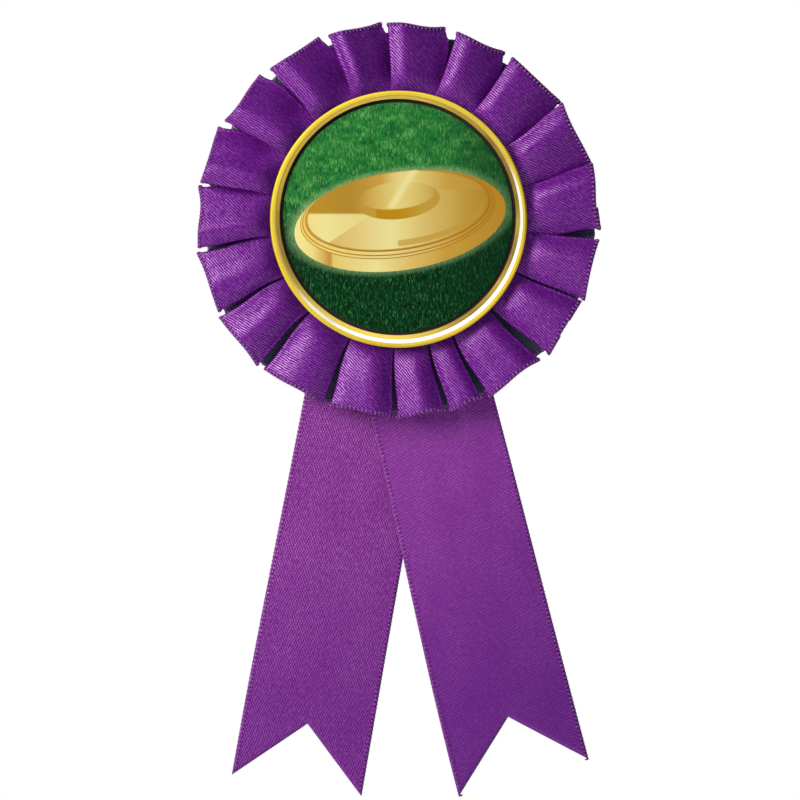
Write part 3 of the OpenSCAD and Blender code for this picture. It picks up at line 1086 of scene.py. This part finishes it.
# ---- materials for the pieces that keep their CAD shape
def plated(name, tint):
    """Bright plating over drawn metal: fine lines, faint stains and edges rounded by tumbling."""
    n = Nodes(name)
    drawn = n.grain((700, 9000, 9000), 1.0)
    stain = n.grain(220, 3.0)
    n.set(Base_Color=n.mix(n.span(stain, 0.5, 0.8, 0.0, 0.35), tint, srgb(168, 162, 150)), Metallic=0.92,
          Roughness=n.plus(n.span(drawn, 0.3, 0.7, 0.24, 0.32), n.span(stain, 0.4, 0.8, 0.0, 0.10)))
    lines = n.bump(drawn, 0.004 * MM, 0.6)
    edges = n.node("ShaderNodeBevel", samples=6)
    edges.inputs["Radius"].default_value = 0.12 * MM
    n.feed(lines.inputs["Normal"], edges.outputs[0])
    return n.material


def lacquered_with_painted_shade(name):
    """Tinplate under dark brown lacquer, seen only as a line round the insert. Its dark brown is partly the
    lacquer's own colour, partly painted shade for the gap round the insert.
    """
    n = Nodes(name)
    flow = n.grain(600)
    # painted shade: near black brown, for the shaded gap round the insert
    n.set(Base_Color=n.ramp(flow, (0.3, 34, 24, 4), (0.7, 58, 44, 14)),
          Roughness=n.span(flow, 0.3, 0.7, 0.5, 0.65))
    n.bump(flow, 0.02 * MM, 0.4)
    return n.material


def board(name):
    """White card with visible fibres and faint clouds."""
    n = Nodes(name)
    fibre = n.grain((1400, 1400, 700), 4.0, 0.65)
    cloud = n.grain(90)
    base = n.ramp(fibre, (0.3, 222, 218, 206), (0.55, 238, 235, 226), (0.8, 246, 244, 238))
    n.set(Base_Color=n.mix(n.span(cloud, 0.4, 0.7, 0.0, 0.35), base, srgb(226, 220, 204)), Roughness=0.85)
    n.bump(fibre, 0.04 * MM, 0.5)
    return n.material


def glue(name):
    """Hot-melt glue, yellowish and slightly clouded."""
    n = Nodes(name)
    bubbles = n.grain(800)
    n.set(Base_Color=n.ramp(bubbles, (0.35, 214, 196, 150), (0.65, 238, 226, 190)), Roughness=0.3,
          Subsurface_Weight=0.3, Subsurface_Scale=MM)
    n.bump(bubbles, 0.08 * MM, 0.5)
    return n.material


def foam(name):
    """The pad's foam, near black: partly its own colour, partly painted shade for the gap round the insert.
    """
    n = Nodes(name)
    cells = n.grain(3000)
    # painted shade: the foam is near black where it shows in the gap round the insert
    n.set(Base_Color=n.ramp(cells, (0.3, 22, 14, 6), (0.7, 44, 32, 16)), Roughness=0.9)
    n.bump(cells, 0.08 * MM, 0.6)
    return n.material


def finish_cad_nodes():
    metal = plated("nickel", srgb(196, 195, 197))
    wire = plated("staple_wire", srgb(206, 206, 208))
    card = board("card")
    finishes = {
        "front_card": card, "back_card": card, "pleat_staples": wire, "tail_staples": wire,
        "rear_glue": glue("hot_glue"), "front_glue": glue("hot_glue_front"),
        "button_back": lacquered_with_painted_shade("lacquered_tin_painted_shade"), "insert_pad": foam("foam_pad"),
        "gathering_stitches": selvage_thread("thread"),
    }
    for node in ("pin_bar", "bar_rivets", "catch_housing", "catch_barrel", "hinge_rivet", "pin_stem"):
        finishes[node] = metal
    for piece in bpy.data.objects:
        material = finishes.get(piece.get("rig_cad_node"))
        if material is not None:
            piece.data.materials.clear()
            piece.data.materials.append(material)


# ---- floor
def make_floor():
    """A wide disc of white paper below the tails."""
    wide = 0.42
    down = -0.205
    mesh = bpy.data.meshes.new("floor")
    made = bmesh.new()
    bmesh.ops.create_circle(made, cap_ends=True, radius=wide, segments=96)
    bmesh.ops.translate(made, verts=made.verts, vec=(0, 0, down))
    made.to_mesh(mesh)
    made.free()
    floor = linked("floor", mesh)
    n = Nodes("floor")
    x, y, _ = n.axes("Object")
    paper = n.noise((x, y), (30.0, 30.0), 3.0)
    n.set(Base_Color=n.ramp(paper, (0.3, 236, 236, 236), (0.7, 244, 244, 244)), Roughness=0.9)
    mesh.materials.append(n.material)


make_camera()
ring_only = make_light()
make_floor()
pleat_satin = satin("pleat_satin", body=(106, 22, 138), dark=(78, 10, 112), light=(160, 84, 176),
                    pitch=0.50 * MM, lines=0.16, specks=0.7, shade_gaps=True)
thread = selvage_thread("selvage_thread")
make_pleats(pleat_satin, selvage_thread("pleat_thread", (84, 28, 106), (130, 66, 148), (196, 140, 204)))
rear_satin = satin("rear_tail_satin", body=(129, 42, 144), pitch=0.52 * MM, lines=0.40, specks=0.6,
                   sparkle=0.75, cross=-50, tip_shade=(100, 22, 138))
make_tail("rear_tail", -10.1, 0.0, rear_tail_shape, -20, rear_satin, thread)
front_satin = satin("front_tail_satin", body=(132, 44, 151), dark=(88, 18, 114), pitch=0.62 * MM,
                    lines=0.16, specks=0.4, sparkle=0.35, cross=-115, tip_shade=(96, 24, 146))
make_tail("front_tail", 14.3, -3.4, front_tail_shape, -64, front_satin, thread)
make_insert()
make_bezel(ring_only)
finish_cad_nodes()
